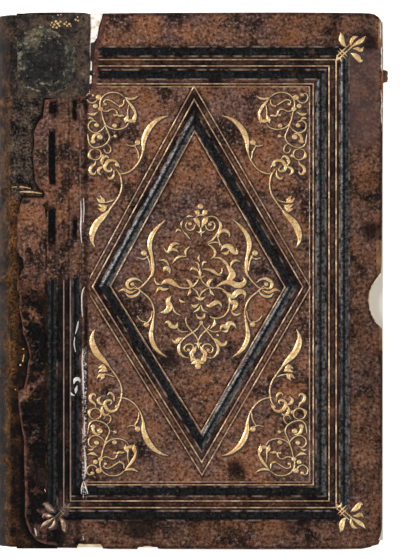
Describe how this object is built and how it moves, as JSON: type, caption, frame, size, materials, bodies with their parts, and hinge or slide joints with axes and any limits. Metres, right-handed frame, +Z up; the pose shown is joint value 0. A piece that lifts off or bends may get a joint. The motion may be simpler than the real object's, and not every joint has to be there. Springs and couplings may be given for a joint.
{
  "type": "leather-bound book",
  "caption": "Closed quarto book in tooled leather over boards, raised bands on the spine, hinged covers, bitten fore-edge.",
  "frame": {"origin": "middle of the bounding box on the surface that the closed book lies on", "axes": "+Z up through the closed book to the front cover, +Y to the head, +X to the fore-edge"},
  "size_m": [0.177, 0.24, 0.0393],
  "materials": {
    "old_leather": "old grained calf, dark brown, worn and polished",
    "patch_leather": "scuffed dark grey-brown leather patch",
    "spine_leather": "newer golden brown leather of the spine repair",
    "board": "layered pasteboard",
    "pages": "aged rag paper",
    "pastedown": "aged paper pasted over the board",
    "lining": "glued spine lining",
    "cord": "twisted hemp cord",
    "endband_core": "rolled cord core",
    "endband_thread": "wound silk thread",
    "tie": "cut-off brown tie",
    "gilt": "worn gold leaf tooled into the old leather"
  },
  "bodies": {
    "book_block": {"text_block": "pages", "spine_leather": "spine_leather", "headband_core": "endband_core", "headband_thread": "endband_thread", "tailband_core": "endband_core", "tailband_thread": "endband_thread", "sewing_cord_1": "cord", "sewing_cord_2": "cord", "sewing_cord_3": "cord", "sewing_cord_4": "cord", "sewing_cord_5": "cord", "spine_lining_1": "lining", "spine_lining_2": "lining", "spine_lining_3": "lining", "spine_lining_4": "lining", "spine_lining_5": "lining", "spine_lining_6": "lining"},
    "front_cover": {"front_board": "board", "front_leather": "old_leather", "front_corner_patch": "patch_leather", "front_leather_flap": "spine_leather", "front_pastedown": "pastedown", "front_tie_stub": "tie", "front_slip_1": "cord", "front_slip_2": "cord", "front_slip_3": "cord", "front_slip_4": "cord", "front_slip_5": "cord"},
    "back_cover": {"back_board": "board", "back_leather": "old_leather", "back_leather_flap": "spine_leather", "back_pastedown": "pastedown", "back_slip_1": "cord", "back_slip_2": "cord", "back_slip_3": "cord", "back_slip_4": "cord", "back_slip_5": "cord"}
  },
  "joints": [
    {"name": "front_cover_hinge", "type": "hinge", "parent": "book_block", "child": "front_cover", "pos_m": [-0.07767, 0, 0.0393], "axis": [0, -1, 0], "range_deg": [0, 175]},
    {"name": "back_cover_hinge", "type": "hinge", "parent": "book_block", "child": "back_cover", "pos_m": [-0.07767, 0, 0], "axis": [0, 1, 0], "range_deg": [0, 175]}
  ]
}
